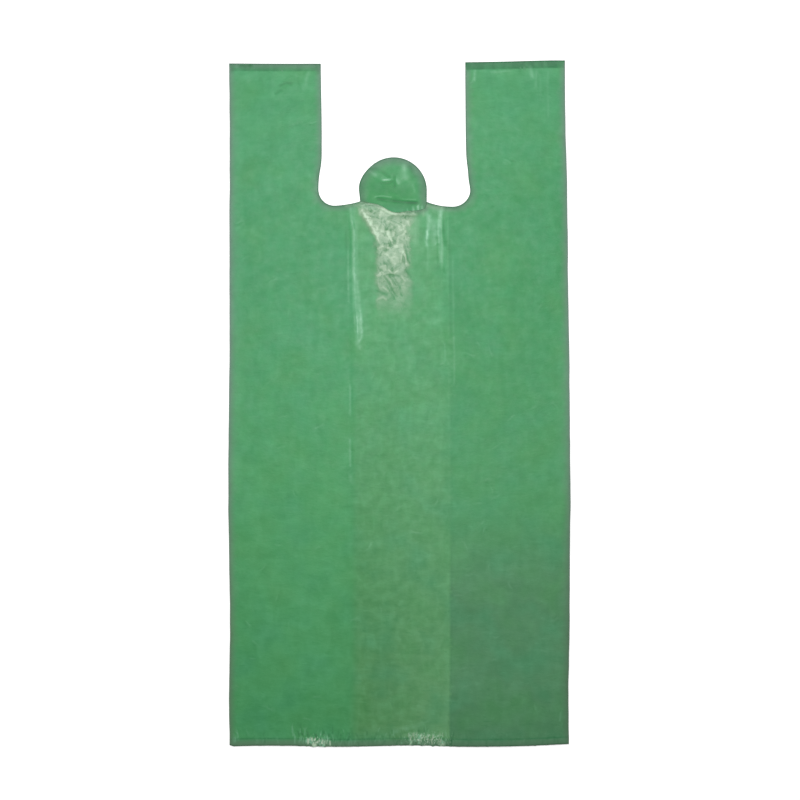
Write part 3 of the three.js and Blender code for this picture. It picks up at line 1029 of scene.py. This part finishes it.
def film_object(layers):
    """The layers and folds joined into one closed skin of the film's own thickness."""
    x, y = np.vstack([layer.flat for layer in layers]).T
    height = np.concatenate([layer.height for layer in layers])
    corners = np.column_stack([x + sideways_lean(x, y), y + lengthways_lean(x, y), height]) * MM
    starts = np.cumsum([0, *(len(layer.flat) for layer in layers)])
    triangles = np.vstack([layer.triangles + start for layer, start in zip(layers, starts)])
    mesh = bpy.data.meshes.new(PIECE)
    mesh.from_pydata(corners.tolist(), [], triangles.tolist())
    for name in SURFACE_VALUES:
        rows = [np.broadcast_to(layer.values.get(name, 0), len(layer.flat)) for layer in layers]
        attribute = mesh.attributes.new(name, "FLOAT", "POINT")
        attribute.data.foreach_set("value", np.concatenate(rows).astype(np.float32))
    shell = bmesh.new()
    shell.from_mesh(mesh)
    loose = [v for v in shell.verts if not v.link_faces]
    bmesh.ops.delete(shell, geom=loose, context="VERTS")
    bmesh.ops.remove_doubles(shell, verts=shell.verts, dist=0.001 * MM)
    bmesh.ops.recalc_face_normals(shell, faces=shell.faces)
    for face in shell.faces:
        face.smooth = True
    shell.to_mesh(mesh)
    shell.free()
    made = bpy.data.objects.new(PIECE, mesh)
    bpy.context.scene.collection.objects.link(made)
    wall = made.modifiers.new("wall", "SOLIDIFY")
    wall.thickness = FILM * MM
    wall.offset = 0
    return made


# The film's colours

def rgb(red, green, blue):
    """A colour in linear red, green and blue, and opaque."""
    return (red, green, blue, 1)


LEFT_TOP = rgb(0.036, 0.300, 0.104)
LEFT_LOW = rgb(0.053, 0.334, 0.107)
RIGHT_TOP = rgb(0.031, 0.290, 0.091)
RIGHT_MIDDLE = rgb(0.055, 0.311, 0.104)
RIGHT_LOW = rgb(0.074, 0.263, 0.112)
# A painted sheen, lighter and whiter at the handles' tops
HANDLE_TOP_SHEEN = rgb(0.062, 0.350, 0.134)
TWO_LAYERS = rgb(0.056, 0.326, 0.114)
TWO_LAYERS_LOW_LEFT = rgb(0.078, 0.292, 0.090)
TWO_LAYERS_LOW_RIGHT = rgb(0.110, 0.332, 0.125)
BLUISH = rgb(0.046, 0.315, 0.140)
YELLOWISH = rgb(0.064, 0.315, 0.084)
SHADE = rgb(0.66, 0.86, 0.77)
GLEAM = rgb(0.019, 0.048, 0.030)
# Painted light and painted shade, for the creases, streaks and folds
PAINTED_LIGHT = rgb(0.26, 0.60, 0.37)
PAINTED_SHADE = rgb(0.012, 0.150, 0.045)
WELDED = rgb(0.016, 0.195, 0.062)
# Painted shade on the tab
TAB_SHADE = rgb(0.016, 0.275, 0.062)
# Painted shade along the edges: greyer at the top, darker low down
EDGE_SHADE_TOP = rgb(0.150, 0.242, 0.190)
EDGE_SHADE_LOW_LEFT = rgb(0.118, 0.206, 0.124)
EDGE_SHADE_LOW_RIGHT = rgb(0.090, 0.172, 0.102)
SKIRT = rgb(0.092, 0.272, 0.132)
# Painted shade of the crumpled film
CRUMPLE_SHADE = rgb(0.050, 0.168, 0.062)
# Whitened film with painted glare, painted silvery highlights, and painted glints on whitened film
WHITENED_AND_GLARE = rgb(0.39, 0.55, 0.375)
SILVERY_HIGHLIGHT = rgb(0.51, 0.73, 0.51)
GLINT = rgb(0.66, 0.90, 0.69)
FILM_IOR = 1.52


class Look:
    """A material's nodes, joined step by step."""

    def __init__(self, name):
        self.material = bpy.data.materials.new(name)
        self.material.use_nodes = True
        self.tree = self.material.node_tree
        self.shader = self.tree.nodes["Principled BSDF"]

    def feed(self, node, values):
        """Gives each input of a node its value, or joins it to another node's output."""
        for name, value in values.items():
            if isinstance(value, bpy.types.NodeSocket):
                self.tree.links.new(value, node.inputs[name])
            else:
                node.inputs[name].default_value = value

    def node(self, kind, values=None, **settings):
        made = self.tree.nodes.new("ShaderNode" + kind)
        for name, setting in settings.items():
            setattr(made, name, setting)
        self.feed(made, values or {})
        return made

    def attribute(self, name):
        return self.node("Attribute", attribute_name=name).outputs["Fac"]

    def position(self):
        return self.node("TexCoord").outputs["Object"]

    def axis(self, name):
        return self.node("SeparateXYZ", {"Vector": self.position()}).outputs[name]

    def noise(self, scale, detail, stretch=(1, 1, 1), distortion=0):
        place = self.node("Mapping", {"Vector": self.position(), "Scale": stretch}).outputs["Vector"]
        values = {"Vector": place, "Scale": scale, "Detail": detail, "Distortion": distortion}
        return self.node("TexNoise", values).outputs["Fac"]

    def ranged(self, value, low, high, to_low=0, to_high=1):
        """The value's range from low to high brought to another range, and held at its ends."""
        values = {"Value": value, "From Min": low, "From Max": high, "To Min": to_low, "To Max": to_high}
        return self.node("MapRange", values).outputs["Result"]

    def combined(self, operation, a, b):
        return self.node("Math", {0: a, 1: b}, operation=operation).outputs[0]

    def product(self, a, b):
        return self.combined("MULTIPLY", a, b)

    def blended(self, share, a, b, blend_type="MIX"):
        """Colour a, changed by colour b as far as the share says."""
        values = {"Factor": share, 6: a, 7: b}
        return self.node("Mix", values, data_type="RGBA", blend_type=blend_type).outputs[2]

    def gleaming(self, share, colour):
        return self.blended(share, colour, GLEAM, "ADD")

    def shaded(self, share, colour):
        return self.blended(share, colour, SHADE, "MULTIPLY")


def to_the_right(look):
    return look.ranged(look.axis("X"), -0.01, 0.01)


def plain_colour(look):
    """The film's green, which changes across and down the bag and over the two-layer middle, with a painted
    sheen that lightens the handles' tops.
    """
    to_the_bottom = look.ranged(look.axis("Y"), 0.1, -0.08)
    to_the_grey = look.ranged(look.axis("Y"), -0.09, -0.16)
    to_the_top = look.ranged(look.axis("Y"), 0.18, 0.29)
    left = look.blended(to_the_bottom, LEFT_TOP, LEFT_LOW)
    right = look.blended(to_the_grey, look.blended(to_the_bottom, RIGHT_TOP, RIGHT_MIDDLE), RIGHT_LOW)
    # Painted sheen on the handles' tops
    sides = look.blended(to_the_top, look.blended(to_the_right(look), left, right), HANDLE_TOP_SHEEN)
    middle_right = look.ranged(look.axis("X"), -0.03, 0.02)
    middle_low = look.ranged(look.axis("Y"), 0.08, -0.28)
    low = look.blended(middle_right, TWO_LAYERS_LOW_LEFT, TWO_LAYERS_LOW_RIGHT)
    middle = look.blended(middle_low, TWO_LAYERS, low)
    return look.blended(look.attribute("middle"), sides, middle)


def mottled(look, colour):
    """The colour with soft patches, and with small marks that are clearer in the middle."""
    tint = look.noise(28, 2)
    colour = look.blended(look.ranged(tint, 0.5, 0.7, 0, 0.35), colour, BLUISH)
    colour = look.blended(look.ranged(tint, 0.5, 0.3, 0, 0.35), colour, YELLOWISH)
    patches = look.noise(42, 3)
    colour = look.gleaming(look.ranged(patches, 0.5, 0.75, 0, 0.32), colour)
    colour = look.shaded(look.ranged(patches, 0.5, 0.25, 0, 0.36), colour)
    clearness = look.ranged(look.attribute("middle"), 0, 1, 0.44, 0.72)
    across = look.noise(140, 2, (0.55, 1.2, 1), 0.4)
    upright = look.noise(130, 2, (1.2, 0.6, 1), 0.4)
    for rough in (across, upright):
        colour = look.gleaming(look.product(clearness, look.ranged(rough, 0.5, 0.75)), colour)
        colour = look.shaded(look.product(clearness, look.ranged(rough, 0.5, 0.25, 0, 0.8)), colour)
    dashes = look.noise(270, 1, (0.5, 1.7, 1), 0.3)
    colour = look.shaded(look.ranged(dashes, 0.65, 0.8, 0, 0.6), colour)
    return look.gleaming(look.ranged(dashes, 0.34, 0.2, 0, 0.5), colour)


def marked(look, colour):
    """The colour with the tab's painted shade, the welds and skirts, painted shade along the edges, and the
    painted light and shade of the creases.
    """
    # Painted shade on the tab
    colour = look.blended(look.attribute("tab_shade"), colour, TAB_SHADE)
    weld_ribs = look.ranged(look.noise(130, 2, (1, 0.2, 1)), 0.42, 0.58, 0.72, 1.18)
    colour = look.blended(look.product(look.attribute("weld"), weld_ribs), colour, WELDED)
    colour = look.blended(look.attribute("skirt"), colour, SKIRT)
    # Painted shade along the edges
    edge_shade_low = look.blended(to_the_right(look), EDGE_SHADE_LOW_LEFT, EDGE_SHADE_LOW_RIGHT)
    edge = look.blended(look.ranged(look.axis("Y"), 0, -0.2), EDGE_SHADE_TOP, edge_shade_low)
    colour = look.blended(look.attribute("edge_shade"), colour, edge)
    # Painted light and painted shade of the creases, streaks and folds, and painted shade at the ends and cut
    # edges
    tone = look.attribute("tone")
    colour = look.blended(look.ranged(tone, 0, 1), colour, PAINTED_LIGHT)
    return look.blended(look.ranged(tone, 0, -1), colour, PAINTED_SHADE)


def crumpled_colour(look, colour):
    """The colour with the crumple's painted shade, its whitening with painted glare and painted silvery
    highlights, and painted glints on whitened film at the bottom.
    """
    # Painted shade of the crumpled film
    colour = look.blended(look.attribute("crumple_shade"), colour, CRUMPLE_SHADE)
    # Whitened film with painted glare, and painted silvery highlights where it is strongest
    speckle = look.ranged(look.noise(330, 4), 0.3, 0.7, 0.72, 1.24)
    whitening_and_glare = look.product(look.attribute("pale_and_glare"), speckle)
    colour = look.blended(whitening_and_glare, colour, WHITENED_AND_GLARE)
    colour = look.blended(look.ranged(whitening_and_glare, 0.8, 1.45), colour, SILVERY_HIGHLIGHT)
    # Painted glints on whitened film near the bottom
    specks = look.ranged(look.noise(620, 2, (1.5, 0.8, 1), 0.5), 0.55, 0.64)
    return look.blended(look.product(look.attribute("sparkle"), specks), colour, GLINT)


def film_material():
    look = Look("green_film")
    dullness = look.ranged(look.noise(160, 3), 0.3, 0.7, 0.54, 0.62)
    polish = look.ranged(look.attribute("shine"), 0, 1, 0, 0.26)
    grain = {"Height": look.noise(420, 5, (0.7, 1.2, 1)), "Strength": 0.35, "Distance": 0.0004}
    look.feed(look.shader, {
        "Base Color": crumpled_colour(look, marked(look, mottled(look, plain_colour(look)))),
        "Roughness": look.combined("SUBTRACT", dullness, polish),
        "IOR": FILM_IOR,
        "Normal": look.node("Bump", grain).outputs["Normal"],
    })
    return look.material


# The setting, in metres: a white floor, a soft lamp over the handles' end, and a camera straight above

WHITE = rgb(1, 1, 1)
FLOOR_SIZE = 60
FLOOR_LEVEL = -0.0002
FLOOR_GREY = rgb(0.8, 0.8, 0.8)
FLOOR_GLOW = 0.62
SKY_STRENGTH = 0.35
KEY_PLACE = (-0.008, 0.18, 0.75)
KEY_TARGET = (-0.008, 0.18, 0)
KEY_SIZE = (0.12, 0.2)
KEY_POWER = 3.8
CAMERA_PLACE = (0.0004, 0.0035, 2.6)
VIEW_WIDTH = 0.704
SENSOR_WIDTH = 36


def make_floor():
    """A grey floor that glows to white for the camera, and keeps the bag's shadow."""
    bpy.ops.mesh.primitive_plane_add(size=FLOOR_SIZE, location=(0, 0, FLOOR_LEVEL))
    floor = bpy.context.object
    floor.name = "floor"
    look = Look("white_floor")
    rays = look.node("LightPath").outputs
    seen = rays["Is Camera Ray"]
    for kind in ("Is Glossy Ray", "Is Transmission Ray"):
        seen = look.combined("MAXIMUM", seen, rays[kind])
    look.feed(look.shader, {
        "Base Color": FLOOR_GREY,
        "Roughness": 0.9,
        "Specular IOR Level": 0,
        "Emission Color": WHITE,
        "Emission Strength": look.product(seen, FLOOR_GLOW),
    })
    floor.data.materials.append(look.material)


def make_lights():
    """An even white sky, and one lamp over the end with the handles."""
    world = bpy.data.worlds.new("studio")
    world.use_nodes = True
    sky = world.node_tree.nodes["Background"]
    sky.inputs["Color"].default_value = WHITE
    sky.inputs["Strength"].default_value = SKY_STRENGTH
    bpy.context.scene.world = world
    lamp = bpy.data.lights.new("key", "AREA")
    lamp.shape = "RECTANGLE"
    lamp.size, lamp.size_y = KEY_SIZE
    lamp.energy = KEY_POWER
    key = bpy.data.objects.new("key", lamp)
    bpy.context.scene.collection.objects.link(key)
    key.location = KEY_PLACE
    key.rotation_euler = (Vector(KEY_TARGET) - Vector(KEY_PLACE)).to_track_quat("-Z", "Y").to_euler()


def make_camera():
    data = bpy.data.cameras.new("camera")
    data.sensor_width = SENSOR_WIDTH
    data.lens = SENSOR_WIDTH * CAMERA_PLACE[2] / VIEW_WIDTH
    camera = bpy.data.objects.new("camera", data)
    bpy.context.scene.collection.objects.link(camera)
    camera.location = CAMERA_PLACE
    bpy.context.scene.camera = camera


bag = film_object([front_layer(), back_layer(), *gusset_layers(-1), *gusset_layers(1)])
bag.data.materials.append(film_material())
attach(bag, "root")
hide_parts(NODE)

make_floor()
make_lights()
make_camera()
bpy.context.scene.view_settings.view_transform = "Standard"
